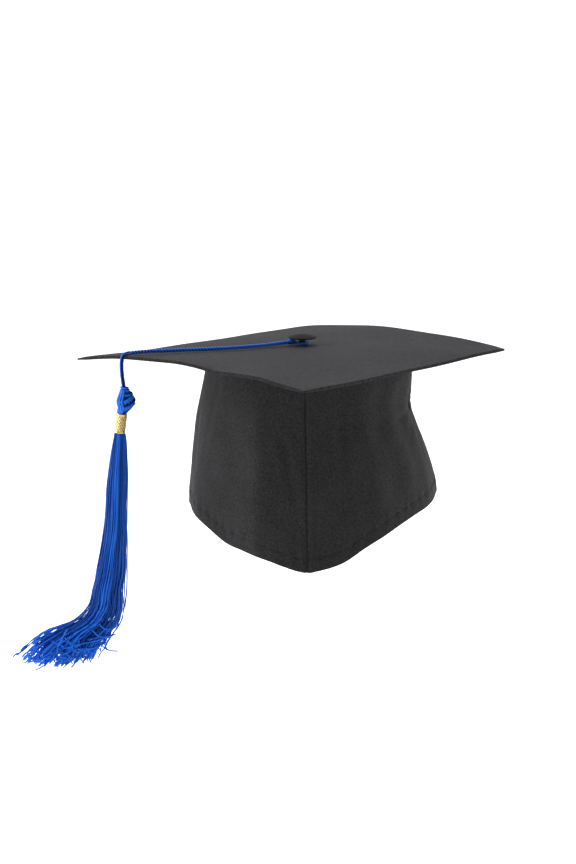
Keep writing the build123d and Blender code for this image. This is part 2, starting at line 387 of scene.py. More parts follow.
def thread_material(name, dark, light, roughness, sheen, ply_pitch):
    """Glossy spun thread: tone by thread, with the painted shade and painted highlights that it carries, fine
    plies across it, and stray lighter fibres.
    """
    material, shader = new_material(
        name, Sheen_Weight=sheen, Sheen_Roughness=0.35, Specular_IOR_Level=0.2
    )
    parts = weave_parts(material)
    across = maths(material, "MULTIPLY", parts[0], 1.6)
    slanted = node(material, "ShaderNodeCombineXYZ", X=maths(material, "ADD", across, parts[1]))
    plies = bands(material, slanted.outputs[0], "X", ply_pitch, 0.4)
    fibres = mottling(material, 900, 4)
    tone = maths(material, "ADD", parts[2], maths(material, "MULTIPLY", plies, 0.28))
    tone = maths(material, "ADD", tone, maths(material, "MULTIPLY", fibres, 0.3))
    shaded(material, shader, tone, dark, light)
    link(material, spread(material, fibres, roughness - 0.1, roughness + 0.15), shader.inputs["Roughness"])
    bumped(material, shader, plies, 0.5, 0.00012)
    return material


def metal_material(name, colour, roughness, scratch_scale, shade=0.72):
    """Thin pressed metal with fine scratches, dull patches, and painted shade in its hollows with painted
    light on its raised parts.
    """
    material, shader = new_material(name, Metallic=1.0)
    scratches = mottling(material, scratch_scale, 6)
    # the weave's third part: painted shade in pressed hollows and painted light on raised parts, added to the
    # random dull patches
    tint = weave_parts(material)[2]
    patches = maths(material, "ADD", spread(material, mottling(material, 60, 2), 0.3, 0.9), tint)
    shaded(material, shader, patches, [shade * part**1.2 for part in colour], colour)
    link(material, spread(material, scratches, roughness - 0.1, roughness + 0.15), shader.inputs["Roughness"])
    bumped(material, shader, scratches, 0.15, 0.00005)
    return material


def plain_material(name, dark, light, roughness, scale, strength):
    """Moulded plastic, card or elastic: mottled, with a grain in its surface."""
    material, shader = new_material(name, Specular_IOR_Level=0.35)
    grain = mottling(material, scale, 5)
    shaded(material, shader, grain, dark, light)
    link(material, spread(material, grain, roughness - 0.06, roughness + 0.08), shader.inputs["Roughness"])
    bumped(material, shader, grain, strength, 0.0001)
    return material


black_cloth = cloth_material("black_cloth", (0.006, 0.006, 0.006), (0.036, 0.0355, 0.0355), 0.0006, 0.04)
board_cloth = cloth_material(
    "board_cloth", (0.0025, 0.0025, 0.0026), (0.0305, 0.0294, 0.0308), 0.0006, 0.03, grain=340
)
button_cloth = cloth_material("button_cloth", (0.0035, 0.0035, 0.0035), (0.011, 0.011, 0.011), 0.0006, 0.03)
lining_cloth = cloth_material("lining_cloth", (0.012, 0.012, 0.013), (0.036, 0.036, 0.039), 0.0008, 0.1)
black_thread = thread_material("black_thread", (0.003, 0.003, 0.003), (0.014, 0.014, 0.014), 0.8, 0.0, 0.0006)
blue_cord = thread_material("blue_cord", (0.0001, 0.003, 0.025), (0.006, 0.125, 0.64), 0.42, 0.02, 0.0011)
blue_thread = thread_material("blue_thread", (0.0002, 0.008, 0.08), (0.007, 0.135, 0.68), 0.42, 0.02, 0.0013)
gold = metal_material("gold_band", (0.98, 0.72, 0.32), 0.24, 700, 0.18)
steel = metal_material("button_metal", (0.6, 0.6, 0.61), 0.34, 900)
plastic = plain_material("neck_plastic", (0.008, 0.008, 0.008), (0.016, 0.016, 0.016), 0.5, 900, 0.2)
card = plain_material("board_card", (0.30, 0.25, 0.19), (0.46, 0.40, 0.31), 0.9, 300, 0.5)
elastic_cloth = cloth_material(
    "elastic_cloth", (0.01, 0.01, 0.01), (0.03, 0.03, 0.03), 0.0011, 0.1, strength=0.8
)


# ---- board ----
def arch_height(along, across):
    """Height of the arched board, along and across being shares of half a side."""
    x = board_centre_x / mm + (along - across) * half_side / mm / sqrt(2)
    height = -8.6 * across**2 - 2.1 * across**3 - (1.65 + 0.74 * across) * along * across
    return (height + 0.9 * along**2 - 0.67 * along**3 + 0.0067 * x) * mm


def board_shares(x, y):
    """Where a point lies on the board, along and across, as shares of half a side."""
    reach = sqrt(2) * half_side
    return (y + x - board_centre_x) / reach, (y - x + board_centre_x) / reach


def board_ripple(along, across):
    """The slight waves of the covered board, strongest near its front left edge."""
    near_edge = np.exp(-(1 + along) / 0.22)
    front_left = 1.25 * hump(across, -0.64, 0.14) - 1.5 * hump(across, -0.26, 0.13)
    front_left += 0.45 * hump(across, 0.08, 0.14) + 0.4 * hump(across, 0.62, 0.16)
    wide = 0.16 * np.sin(5.1 * along + 2.2 * across + 0.7) * np.sin(4.3 * across - 1.9 * along)
    other_edges = 0.3 * np.sin(9 * across + 1.0) * np.exp(-(1 - along) / 0.12)
    other_edges += 0.25 * np.sin(8 * along + 2.0) * np.exp(-(1 - np.abs(across)) / 0.12)
    return (front_left * near_edge + wide + other_edges) * mm


def square_to_board(along, across, inset):
    """Flat places of grid shares on the board's outline, with its rounded corners."""
    half = half_side - inset
    radius = max(corner_radius - inset, 0.9 * mm)
    straight = 1 - radius / half
    s = (np.abs(along) - straight) / (1 - straight)
    t = (np.abs(across) - straight) / (1 - straight)
    corner = (s > 0) & (t > 0)
    s, t = np.where(corner, s, 0), np.where(corner, t, 0)
    rounded_s = s * np.sqrt(1 - t * t / 2) * (1 - straight) + straight
    rounded_t = t * np.sqrt(1 - s * s / 2) * (1 - straight) + straight
    p = np.where(corner, np.sign(along) * rounded_s, along) * half
    q = np.where(corner, np.sign(across) * rounded_t, across) * half
    return board_centre_x + (p - q) / sqrt(2), (p + q) / sqrt(2)


def board_skin(cells, rim, inset, base_drop, puckers):
    """A square skin over the board whose outer rows go over the rim, as points and weave.

    rim lists (inset, drop) for the rows past the top's edge, from the top outwards."""
    top_steps = np.linspace(-1, 1, cells + 1)
    shares = np.concatenate([-1 - np.arange(len(rim), 0, -1), top_steps, 1 + np.arange(1, len(rim) + 1)])
    along, across = np.meshgrid(shares, shares, indexing="ij")
    ring = np.maximum(np.abs(along), np.abs(across))
    row = np.rint(np.maximum(ring - 1, 0)).astype(int)
    capped_along = np.where(np.abs(along) > 1, np.sign(along), along)
    capped_across = np.where(np.abs(across) > 1, np.sign(across), across)
    row_drop = np.array([base_drop] + [step[1] for step in rim])[row]
    x = np.zeros(along.shape)
    y = np.zeros(along.shape)
    for k in range(len(rim) + 1):
        chosen = row == k
        step_inset = inset if k == 0 else rim[k - 1][0]
        x[chosen], y[chosen] = square_to_board(capped_along[chosen], capped_across[chosen], step_inset)
    p, q = board_shares(x, y)
    thinned = 0.45 * eased(1.88, 2.0, np.abs(p) + np.abs(q))
    z = board_top + arch_height(p, q) + board_ripple(p, q)
    z = z + row_drop * (1 - thinned) - thinned * board_thickness / 2
    edge_distance = (1 - np.maximum(np.abs(p), np.abs(q))) * half_side
    round_edge = (np.where(np.abs(p) > np.abs(q), q, p)) * half_side
    pucker = np.sin(round_edge * tau / (3.7 * mm) + 2 * np.sin(round_edge * tau / (31 * mm)))
    z = z + puckers * pucker * np.exp(-edge_distance / (2.6 * mm)) * (row == 0)
    points = np.stack([x, y, z], -1)
    weave = np.stack([(p * half_side), (q * half_side), np.zeros(p.shape)], -1)
    return points, weave


def board_piece(name, material, stands_for, slot, cells, faces_up, skins, dip=0.0):
    """A cover or the core of the board, from an outer and an inner skin that meet at the rim."""
    (outer, outer_weave), (inner, inner_weave) = (board_skin(cells, *skin) for skin in skins)
    sunk = dip * np.exp(-np.hypot(outer[..., 0], outer[..., 1]) / (7 * mm))
    faces = grid_faces(len(outer), len(outer))
    shape = Shape()
    for points, weave, up in ((outer, outer_weave, faces_up), (inner, inner_weave, not faces_up)):
        points[..., 2] -= sunk
        shape.add(points, faces[:, ::-1] if up else faces, weave)
    return shape.piece(name, material, "root", [stands_for], slot, weld=True)


def board_pieces():
    """The card and its two cloth covers, which meet in a sunk seam round the rim."""
    seam_low = -rim_seam_depth - layer_gap
    rounding = 0.35 * mm
    folded = cover_thickness - 0.02 * mm
    low = -board_thickness
    inner = low + cover_thickness
    top_rim = [
        (0.1 * mm, -0.10 * mm), (0, -0.28 * mm),
        (0, -rim_seam_depth + 0.2 * mm), (0.22 * mm, -rim_seam_depth),
    ]
    top_inside = [
        (cover_thickness, -cover_thickness), (cover_thickness, -rim_seam_depth + 0.1 * mm),
        (folded, -rim_seam_depth + 0.03 * mm), (0.22 * mm, -rim_seam_depth),
    ]
    under_rim = [
        (0.08 * mm, low + 0.12 * mm), (0, low + 0.4 * mm), (0, seam_low - 0.2 * mm), (0.22 * mm, seam_low),
    ]
    under_inside = [
        (cover_thickness, inner), (cover_thickness, seam_low - 0.1 * mm),
        (folded, seam_low - 0.03 * mm), (0.22 * mm, seam_low),
    ]
    inset = cover_thickness + layer_gap
    core_high, core_low = -inset, -board_thickness + inset
    core_rim = [(inset, (core_high + core_low) / 2)]
    top_cloth = board_piece(
        "board_top_cloth", board_cloth, "board_top_cover", "black_cloth", 200, True,
        [(top_rim, rounding, 0, 0.05 * mm), (top_inside, cover_thickness, -cover_thickness, 0)], 0.35 * mm
    )
    under_cloth = board_piece(
        "board_under_cloth", board_cloth, "board_bottom_cover", "black_cloth", 120, False,
        [(under_rim, rounding, low, 0.05 * mm), (under_inside, cover_thickness, inner, 0)]
    )
    stiff_card = board_piece(
        "board_card_sheet", card, "board_core", "board_card", 60, True,
        [(core_rim, inset, core_high, 0), (core_rim, inset, core_low, 0)]
    )


# ---- crown ----
section_depth, section_centre, section_half = np.array(crown_sections).T * mm
hem_front_x, hem_front_z = np.array(front_hem, float).T * mm
hem_back_x, hem_back_z = np.array(back_hem, float).T * mm


def crown_oval(height):
    """Centre in x and half width of the crown's oval at a height."""
    depth = board_top - height
    return (
        smooth_through(section_depth, section_centre, depth),
        smooth_through(section_depth, section_half, depth),
    )


def hem_line(x, y):
    front = smooth_through(hem_front_x, hem_front_z, x)
    back = smooth_through(hem_back_x, hem_back_z, x)
    return np.where(y < 0, front, back)


def board_underside(x, y):
    p, q = board_shares(x, y)
    return board_top + arch_height(p, q) + board_ripple(p, q) - board_thickness - 2 * layer_gap


def seam_angle(place, height, inset):
    """The angle round the crown where it crosses a level of x, in front or behind.

    place is (x, which): "front", "back", or "left back" for the back reached by way of the left."""
    x, which = place
    centre, half = crown_oval(height)
    angle = np.arccos(np.clip((x - centre) / (half - inset), -1, 1))
    return {"front": -angle, "back": angle, "left back": angle - tau}[which]


def crease(turn, height, start, end, width, depth):
    """A soft crease between two places, given as angle in degrees and height in mm."""
    reach = crown_reach * pi / 180
    a = np.array((start[0] * reach, start[1] * mm))
    b = np.array((end[0] * reach, end[1] * mm))
    along = ((turn * reach - a[0]) * (b[0] - a[0]) + (height - a[1]) * (b[1] - a[1])) / ((b - a) @ (b - a))
    t = np.clip(along, 0, 1)
    off = np.hypot(turn * reach - a[0] - t * (b[0] - a[0]), height - a[1] - t * (b[1] - a[1])) / (width * mm)
    fade = 1.4 * np.exp(-1.6 * t) * eased(-0.25, 0.05, along)
    return depth * mm * fade * (np.exp(-(off**2)) - 0.55 * np.exp(-((off - 1.9) ** 2)))


def crown_relief(angle, height, over_hem, below_top, from_seam):
    """How far the cloth stands out from the plain oval, from its folds, creases and stitches."""
    turn = np.degrees(angle)
    around = angle * crown_reach
    lower = eased(0, 45 * mm, below_top)
    relief = lower * (7.0 * np.exp(-np.hypot(turn + 117.5, 3.0) / 15) - 2.0 * hump(turn, -117, 40))
    middle = eased(8 * mm, 40 * mm, below_top) * eased(5 * mm, 30 * mm, over_hem)
    for centre, rise in ((-60, 0.75), (-50, -0.55), (-41, 0.55), (-32, -0.5), (-23, 0.4)):
        relief += middle * rise * hump(turn, centre, 5)
    relief += lower * (0.7 * np.sin(turn / 7.3 + 20 * height) * hump(turn, 20, 35))
    relief += lower * (0.8 * np.sin(turn / 8.1 - 26 * height + 1) * hump(turn, -200, 32))
    relief += 0.35 * np.sin(around * 95 + 31 * height) * np.sin(58 * height + 1.3 + around * 22)
    relief += 0.22 * np.sin(around * 190 + 3 * np.sin(40 * height)) * np.sin(120 * height + 0.4)
    relief *= mm
    relief -= 0.6 * mm * hump(turn, -13, 7) * hump(height, 76 * mm, 9 * mm)
    relief += 0.8 * mm * hump(turn, -4, 24) * hump(height, 28 * mm, 30 * mm)
    at_pinch = (-13, 76)
    for start, end, width, depth in (
        (at_pinch, (-40, 66), 3.0, -0.6), (at_pinch, (-38, 88), 2.6, -0.45), (at_pinch, (-33, 46), 3.2, -0.5),
        (at_pinch, (-19, 34), 3.4, -0.5), (at_pinch, (-28, 104), 2.6, -0.35), (at_pinch, (4, 44), 3.2, -0.5),
        (at_pinch, (14, 84), 3.0, -0.5), ((-150, 96), (-158, 20), 4.0, -0.3),
        ((-172, 70), (-168, 12), 4.0, -0.3), ((-104, 60), (-99, -6), 3.5, -0.5),
        ((-75, 70), (-80, 0), 3.8, -0.5),
    ):
        relief += crease(turn, height, start, end, width, depth)
    # gathered where it is sewn to the board
    gathers = np.sin(around * tau / (8.5 * mm) + 2 * np.sin(around * 70))
    relief += 0.12 * mm * gathers * np.exp(-below_top / (6 * mm))
    # the hem's stitches and the puckers round them
    stitch = np.cos(around * tau / (5.35 * mm))
    relief -= hump(over_hem, stitch_row, 1.2 * mm) * (0.36 + 0.16 * stitch) * mm
    puckers = np.sin(around * tau / (10.7 * mm) + 1.7 * np.sin(around * 85))
    relief += 0.34 * mm * puckers * hump(over_hem, stitch_row, 5 * mm)
    relief += 0.5 * mm * np.sin(around * tau / (52 * mm) + 1.0) * np.exp(-over_hem / (20 * mm))
    # the elastic gathers the back
    behind = hump(turn, 90, 36) + hump(turn, -270, 36)
    ruffle = np.sin(around * tau / (8.2 * mm) + 1.9 * np.sin(around * 60) + 2 * np.sin(height * 90))
    relief += 1.0 * mm * ruffle * behind * hump(over_hem, 4 * mm, 17 * mm)
    # the seams: sunk at the join, a faint ridge beside it
    relief -= 0.85 * mm * np.exp(-((from_seam / (0.75 * mm)) ** 2))
    relief += 0.22 * mm * hump(from_seam, 4.2 * mm, 2 * mm)
    return relief


def crown_layer(
    name, material, stands_for, first, last, inset, thickness, low, high=None, cells=(200, 90), slot=None
):
    """A layer of the crown's wall between two places round it, as a closed thin sheet.

    low and high are heights over the hem; a layer with no high reaches up to the board."""
    columns, rows = cells
    share = np.linspace(0, 1, columns)[:, None]
    down = np.linspace(0, 1, rows)
    down = np.concatenate([down, [1.0], down[::-1]])[None, :]
    inner = np.concatenate([np.zeros(rows), [0.5], np.ones(rows)])[None, :]
    extra_drop = np.concatenate([np.zeros(rows), [0.5 * thickness], np.zeros(rows)])[None, :]
    depth_in = inset + thickness * inner
    height = np.full((columns, down.shape[1]), 50 * mm)
    for _ in range(14):
        angle = seam_angle(first, height, depth_in) * (1 - share) + seam_angle(last, height, depth_in) * share
        centre, half = crown_oval(height)
        x = centre + (half - depth_in) * np.cos(angle)
        y = (half * depth_to_width - depth_in) * np.sin(angle)
        hem = hem_line(x, y)
        underside = board_underside(x, y) - layer_gap
        top = underside if high is None else hem + high
        bottom = hem + low - extra_drop
        height = top + (bottom - top) * down
    from_seam = np.abs(x - seam_x)
    relief = crown_relief(angle, height, height - hem, underside - height, from_seam)
    normal = unit(np.stack([np.cos(angle) * depth_to_width, np.sin(angle), 0 * angle], -1))
    points = np.stack([x, y, height], -1) + normal * relief[..., None]
    weave = np.stack([angle * crown_reach, height, 0 * angle], -1)
    layer = Shape()
    layer.add(points, grid_faces(columns, down.shape[1], wrap_columns=True)[:, ::-1], weave)
    around = down.shape[1]
    end_faces = [(i, i + 1, around - 2 - i, around - 1 - i) for i in range(rows - 1)]
    end_faces.append((rows - 1, rows, rows + 1))
    for column, direction in ((0, 1), (columns - 1, -1)):
        for corners in end_faces:
            layer.add_face([column * around + k for k in corners][::direction])
    return layer.piece(name, material, "root", [stands_for], slot)


def crown_pieces():
    """The two panels, and inside them the linings, hem facings, seam tapes and elastic."""
    gap = 0.015 * mm
    sides = {
        "left": ((seam_x - gap, "front"), (seam_x - gap, "left back")),
        "right": ((seam_x + gap, "front"), (seam_x + gap, "back")),
    }
    for side, edges in sides.items():
        panel = crown_layer(
            f"{side}_crown_cloth", black_cloth, f"crown_{side}_panel", *edges,
            0, 0.6 * mm, 0, cells=(264, 120)
        )
        lining = crown_layer(
            f"{side}_crown_lining", lining_cloth, f"crown_{side}_lining", *edges,
            0.65 * mm, 0.3 * mm, 1 * mm, cells=(170, 70)
        )
        facing = crown_layer(
            f"{side}_hem_cloth", black_cloth, f"hem_{side}_facing", *edges,
            1.0 * mm, 0.4 * mm, 0.4 * mm, hem_height, cells=(200, 14)
        )
    for place in ("front", "back"):
        edges = [(seam_x - 5 * mm, place), (seam_x + 5 * mm, place)]
        if place == "back":
            edges.reverse()
        tape = crown_layer(
            f"{place}_seam_binding", lining_cloth, f"{place}_seam_tape", *edges,
            1.0 * mm, 0.3 * mm, hem_height + 0.3 * mm, cells=(12, 90)
        )
    edges = (seam_x + 80 * mm, "back"), (seam_x - 80 * mm, "back")
    crown_layer(
        "elastic_band", elastic_cloth, "back_elastic", *edges,
        1.45 * mm, 0.7 * mm, 2 * mm, 8 * mm, cells=(150, 12), slot="elastic"
    )


def round_sheet(name, material, stands_for, centre, radii, height_at, thickness, rings=30, columns=96):
    """A thin oval sheet whose height follows a rule, as a closed solid with a round edge."""
    share = np.linspace(0.02, 1, rings)
    share = np.concatenate([share, [1 + 0.5 * thickness / radii[0]], share[::-1]])[:, None]
    drop = np.concatenate([np.zeros(rings), [0.5], np.ones(rings)])[:, None] * thickness
    angle = (np.arange(columns) * tau / columns)[None, :]
    x = centre[0] + radii[0] * share * np.cos(angle)
    y = centre[1] + radii[1] * share * np.sin(angle)
    z = height_at(x, y, np.minimum(share, 1) + 0 * angle, angle) - drop
    points = np.stack([x, y, z], -1)
    sheet = Shape()
    sheet.add(points, grid_faces(len(share), columns, wrap_columns=True), np.stack([x, y, 0 * x], -1))
    sheet.add_face(np.arange(columns)[::-1])
    sheet.add_face((len(share) - 1) * columns + np.arange(columns))
    return sheet.piece(name, material, "root", [stands_for])


def small_cloths():
    """The crown's flat top, sewn under the board, and the patch over the button's legs."""
    centre = (crown_sections[0][1] * mm, 0)
    radii = (80.8 * mm, 80.8 * depth_to_width * mm)

    def under_board(x, y, share, angle):
        ease = 0.12 * mm * np.sin(14 * angle + 2 * np.sin(3 * angle)) * share**4
        return board_underside(x, y) - 0.12 * mm + ease

    top = round_sheet("crown_top_cloth", lining_cloth, "crown_top", centre, radii, under_board, 0.45 * mm)

    low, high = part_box("leg_cover_patch")

    def over_legs(x, y, share, angle):
        rise = eased(0.62, 0.98, share)
        wrinkle = 0.18 * mm * np.sin(9 * angle + 1.3) * rise * (1 - rise) * 4
        return low.z + 0.5 * mm + (high.z - low.z - 0.5 * mm) * rise + wrinkle

    patch = round_sheet(
        "patch_cloth", black_cloth, "leg_cover_patch", (0, 0), (high.x, high.y), over_legs, 0.5 * mm, 20, 72
    )


def sewing():
    """Rows of short stitches round the hem and round the crown's top."""
    hem = Shape()
    count = 108
    for i in range(count):
        middle = -pi / 2 + tau * (i + 0.5) / count
        ends = middle + np.linspace(-1, 1, 7) * 1.6 * mm / crown_reach
        height = np.full(7, 0.0)
        for _ in range(12):
            centre, half = crown_oval(height)
            x = centre + half * np.cos(ends)
            y = half * depth_to_width * np.sin(ends)
            line = hem_line(x, y)
            height = line + stitch_row
        folded = np.where(np.degrees(ends) > 90, ends - tau, ends)
        relief = crown_relief(
            folded, height, height - line, board_underside(x, y) - height, np.abs(x - seam_x)
        )
        lift = relief + (0.2 - 0.34 * np.linspace(-1, 1, 7) ** 2) * mm
        normal = unit(np.stack([np.cos(ends) * depth_to_width, np.sin(ends), 0 * ends], -1))
        stitch = np.stack([x, y, height], -1) + normal * lift[:, None]
        hem.tube(stitch, 0.2 * mm, 6, tint=dice.uniform(0, 0.4))
    hem.piece("hem_sewing", black_thread, "root", ["hem_stitches"])
    top = Shape()
    count = 96
    ring_wide, ring_deep = 75.8 * mm, 65.2 * mm
    for i in range(count):
        ends = tau * (i + 0.5) / count + np.linspace(-1, 1, 5) * 1.5 * mm / (75 * mm)
        x = crown_sections[0][1] * mm + ring_wide * np.cos(ends)
        y = ring_deep * np.sin(ends)
        sag = (0.15 - 0.3 * np.linspace(-1, 1, 5) ** 2) * mm
        z = board_underside(x, y) - 0.62 * mm - sag
        top.tube(np.stack([x, y, z], -1), 0.18 * mm, 6, tint=dice.uniform(0, 0.4))
    top.piece("crown_top_sewing", black_thread, "root", ["crown_top_stitches"])


# ---- button ----
def button_cover():
    """Cloth stretched over the button's shell, gathered a little where it goes under."""
    thickness = 0.4 * mm
    shoulder = button_under + 0.9 * mm
    apex = button_under + 3.5 * mm
    rise = apex - shoulder
    sphere = (button_radius**2 + rise**2) / (2 * rise)
    outer = []
    for r in np.linspace(0.3 * mm, button_radius - 0.35 * mm, 22):
        outer.append((r, apex - sphere + sqrt(sphere**2 - r**2)))
    outer += [
        (button_radius - 0.05 * mm, shoulder + 0.02 * mm), (button_radius, shoulder - 0.28 * mm),
        (button_radius - 0.25 * mm, button_under + 0.2 * mm), (button_radius - 0.8 * mm, button_under),
        (9.4 * mm, button_under), (7.6 * mm, button_under),
    ]
    inner = [(r * 0.985 - (0.25 * mm if r > 8 * mm else 0), z - thickness) for r, z in outer[:23]]
    inner += [(button_radius - 0.9 * mm, button_under + thickness), (7.6 * mm, button_under + thickness)]
    profile = np.array(outer + inner[::-1])
    columns = 120
    angle = np.arange(columns) * tau / columns
    radius, height = profile[:, 0][:, None], profile[:, 1][:, None]
    gather = np.sin(24 * angle + 2.5 * np.sin(5 * angle))[None, :]
    near_rim = eased(8.5 * mm, 11 * mm, radius)
    radius = radius + 0.06 * mm * gather * near_rim
    height = height + 0.07 * mm * gather * near_rim
    points = np.stack([radius * np.cos(angle), radius * np.sin(angle), height + 0 * angle], -1)
    weave = points * (1, 1, 0)
    cover = Shape()
    cover.add(points, grid_faces(len(profile), columns, wrap_columns=True), weave)
    cover.add_face(np.arange(columns)[::-1])
    cover.add_face((len(profile) - 1) * columns + np.arange(columns))
    cloth = cover.piece("button_cloth_cover", button_cloth, "root", ["button_cover"])


def carried_parts():
    """The button's metal and plastic parts keep their CAD shapes and get their finishes."""
    finishes = {
        "button_shell": steel, "button_back_plate": steel, "button_legs": steel,
        "clinch_washer": steel, "button_neck": plastic,
    }
    for name, finish in finishes.items():
        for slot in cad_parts[name].material_slots:
            slot.material = finish


# ---- tassel ----
def tassel_place(out, height, front=0.0):
    """A place in mm in the tassel's plane: outward from the rim pivot, height, and towards the front."""
    base = np.array((rim_pivot[0], rim_pivot[1], 0.0))
    out, height, front = np.broadcast_arrays(out, height, front)
    place = base + (outward * out[..., None] + forward * front[..., None]) * mm
    return place + np.stack([0 * height, 0 * height, height * mm], -1)


def tassel_cord():
    """The doubled cord, twisted over the board and parting into two strands over the rim."""
    drop = [tuple(tassel_place(out / mm, height / mm)) for out, height in hanging_route]
    line = evenly(smooth_line(board_cord_route + drop), 0.35 * mm)
    reached = np.linspace(0, distances(line)[-1], len(line))
    side, up = side_directions(line)
    parted = outward * 0.9 + forward * 0.1
    end_angle = np.arctan2(up[-40] @ parted, side[-40] @ parted)
    rim_level = 0.1235
    untwist = reached[np.argmax(line[:, 2] < rim_level)] + 2 * mm
    twist = np.where(reached < untwist, (reached - untwist) * tau / (5.0 * mm), 0.0)
    angle = end_angle + twist
    loosened = eased(untwist, untwist + 6 * mm, reached)
    spacing = (1.02 - 0.22 * loosened) * mm
    rope = Shape()
    for k in (0, 1):
        strand = wound(line, spacing, angle + k * pi)
        # each strand gets painted shade on its side towards the cord's middle
        rope.tube(strand, (0.64 + 0.20 * loosened) * mm, 12, tint=0.95, core=line, shade=3.4)
    # a dark tube along the middle of the twisted part: painted shade in the gaps between the two strands
    rope.tube(line[4:np.argmax(reached > untwist)], 0.5 * mm, 8, tint=-0.5)
    nodes = ["tassel_board_cord", "tassel_hanging_cord"]
    cord = rope.piece("tassel_cord", blue_cord, None, nodes)
    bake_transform(cord)
    return cord, line


def tassel_eye():
    """The loop of cord round the button's neck, whipped with thread where it closes."""
    turn = np.linspace(0, tau, 150, endpoint=False)
    toward_cord = pi + radians(9)
    reach = np.abs(angle_between(turn, toward_cord))
    radius = eye_radius + 2.6 * mm * np.exp(-((reach / 0.42) ** 2)) + 0.9 * mm * hump(turn, tau - 0.7, 0.6)
    resting = 0.12345
    height = resting + 1.0 * mm * np.exp(-((reach / 0.6) ** 2)) - 0.25 * mm * hump(reach, pi, 1.2)
    loop = np.stack([radius * np.cos(turn), radius * np.sin(turn), height], -1)
    eye = Shape()
    reached = np.arange(150) / 150
    for i in range(3):
        angle = reached * tau * 9 + i * tau / 3
        ply = loop + 0.5 * mm * swung(unit(loop * (1, 1, 0)), upward, angle)
        # each ply gets painted shade on its side towards the loop's middle line
        eye.tube(ply, 0.58 * mm, 8, closed=True, tint=0.85 + 0.08 * i, core=loop)
    piece = eye.piece("eye_loop", blue_cord, "board_cord", ["tassel_eye"])
    whipping = Shape()
    centre = np.array((-0.0093, -0.0018, 0.1251))
    axis = unit(np.array((-0.9, -0.28, 0.0)))
    across = np.array((axis[1], -axis[0], 0.0))
    turns = 5
    angle = np.linspace(0, tau * turns, turns * 24)
    wrap = centre + axis * ((angle / tau - turns / 2) * 0.62 * mm)[:, None]
    wrap = wrap + 1.95 * mm * swung(across, upward, angle)
    whipping.tube(wrap, 0.38 * mm, 8, tint=0.75)
    collar = whipping.piece("cord_whipping", blue_thread, "board_cord")
    return piece, collar


def tassel_knot():
    """The knot above the band: upright cords on its outer side, and cords laid slantwise over the rest."""
    levels = np.array([76.0, 78.5, 81.2, 86.0, 90.8, 94.0, 96.4, 98.6])
    centre_out = np.array([-0.4, -2.0, -3.8, -4.1, -4.0, -3.3, -2.8, -2.3])
    half_out = np.array([2.4, 3.4, 4.6, 5.6, 4.1, 2.5, 1.8, 1.3])
    half_deep = np.array([2.4, 3.1, 3.9, 4.5, 3.5, 2.4, 1.7, 1.2])

    def middle_of(height):
        return tassel_place(smooth_through(levels, centre_out, height), height)

    def on_body(turn, height, proud):
        out = smooth_through(levels, centre_out, height)
        wide = smooth_through(levels, half_out, height) + proud
        deep = smooth_through(levels, half_deep, height) + proud
        return tassel_place(out + wide * np.cos(turn), height, deep * np.sin(turn))

    knot = Shape()
    # an inner bundle of upright cords, toned dark: painted shade where it shows between the outer cords
    for i in range(14):
        turn = i * tau / 14 + 0.1 * np.sin(np.linspace(0, 3, 40) + i)
        line = on_body(turn, np.linspace(96.5, 76.2, 40), -0.4)
        knot.tube(line, 0.95 * mm, 7, tint=0.1 + 0.15 * (i % 3) / 2)
    # slanting turns, low on the outer side; these turns, the upright cords and the neck turns get painted
    # shade on their sides towards the knot's middle
    turns = (
        (91.5, 1.2, 0.85, 0.9), (89.0, 3.0, 1.25, 0.65), (86.8, 3.2, 0.8, 0.85), (83.6, 3.7, 1.2, 0.5),
        (81.7, 2.2, 0.9, 0.75),
    )
    for i, (middle, rise, thick, tint) in enumerate(turns):
        turn = np.linspace(0, tau, 70, endpoint=False)
        height = middle - rise * np.cos(turn - 0.25) + 0.45 * np.sin(2 * turn + 2.3 * i)
        line = on_body(turn, height, 0.75 + 0.1 * np.sin(3 * turn + i))
        knot.tube(line, thick * mm, 12, closed=True, tint=tint, core=middle_of(height))
    # upright cords over the outer side
    for i, turn in enumerate((-0.66, -0.33, 0.0, 0.33, 0.66, 0.99)):
        height = np.linspace(94.8, 76.8, 46)
        sway = turn + 0.1 * np.sin(height / 3 + 0.2 * i)
        line = on_body(sway, height, 0.95 + 0.5 * np.sin((height - 76.8) / 18 * pi))
        knot.tube(line, 0.9 * mm, 12, tint=(0.9, 0.75, 1.0, 0.8, 0.95, 0.7)[i], core=middle_of(height))
    # two turns round the neck
    for i, middle in enumerate((96.6, 94.9)):
        turn = np.linspace(0, tau, 60, endpoint=False)
        height = middle + 0.35 * np.cos(turn + i)
        line = on_body(turn, height, 0.7)
        knot.tube(line, 0.9 * mm, 12, closed=True, tint=0.9 - 0.1 * i, core=middle_of(height))
    return knot.piece("knot_cords", blue_cord, "tassel_head", ["tassel_knot"])


def band_axis():
    """The band's top and bottom middles, and directions along and square to it."""
    top = tassel_place(-0.3, 76.4)
    bottom = tassel_place(1.9, 61.4)
    along = unit(bottom - top)
    across = unit(np.cross(along, forward))
    return top, bottom, along, across, np.cross(along, across)


